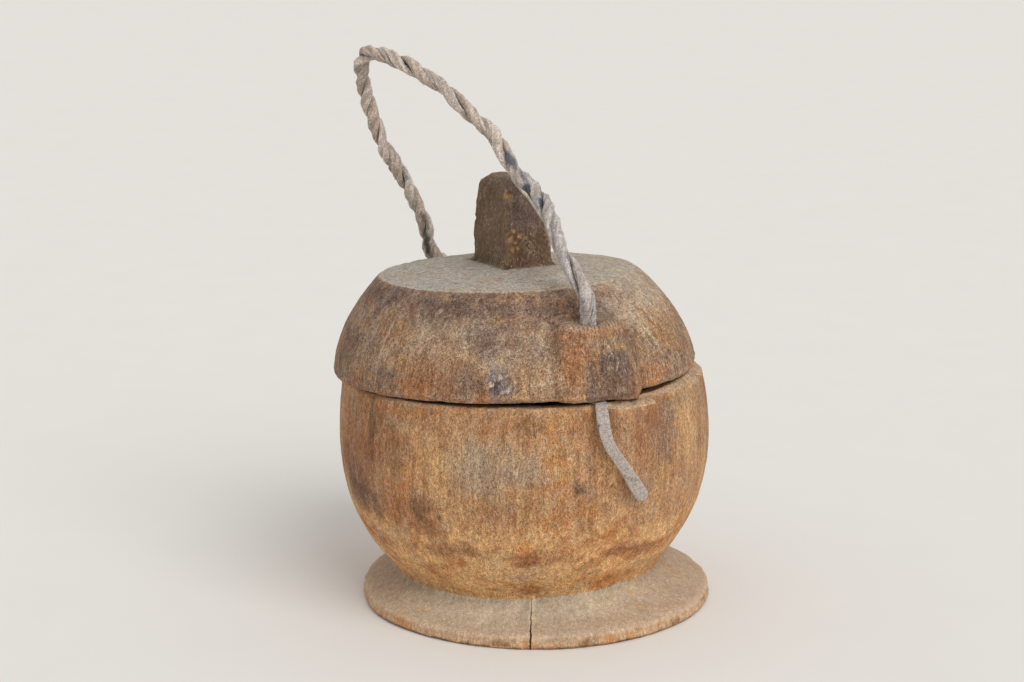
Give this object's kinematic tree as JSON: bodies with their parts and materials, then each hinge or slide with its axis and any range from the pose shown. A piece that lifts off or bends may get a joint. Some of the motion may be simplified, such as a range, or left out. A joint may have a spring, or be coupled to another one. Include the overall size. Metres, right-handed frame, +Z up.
{
  "type": "wooden bowl",
  "caption": "Round carved wooden bowl on a broad foot, with a domed lid that lifts off, a block knob, lugs and a swinging handle of twisted cloth cord.",
  "frame": {"origin": "on the ground under the middle of the wooden part's box", "axes": "+Z up, -Y to the front, where the lug with the cord's tail is, +X to the right"},
  "size_m": [0.2032, 0.2004, 0.2924],
  "materials": {
    "bowl_wood": "worn, oiled orange-brown wood with tool marks, knots and dark stains",
    "lid_wood": "dark, handled brown wood with a grey worn top, scratches and chips",
    "cloth_cord": "matt grey-beige cloth strips, twisted together, with dark blue patches"
  },
  "bodies": {
    "root": {"bowl": "bowl_wood"},
    "lid": {"lid": "lid_wood", "cord_in_front_lug": "cloth_cord", "cord_in_back_lug": "cloth_cord", "cord_tail": "cloth_cord"},
    "handle": {"handle_cord": "cloth_cord"}
  },
  "joints": [
    {"name": "lid_lift", "type": "slide", "parent": "root", "child": "lid", "axis": [0, 0, 1], "range_m": [0, 0.12]},
    {"name": "handle_swing", "type": "hinge", "parent": "lid", "child": "handle", "pos_m": [0.0317, -0.07922, 0.17105], "axis": [0.4224, -0.9056, 0.0389], "range_deg": [-68, 30]}
  ]
}
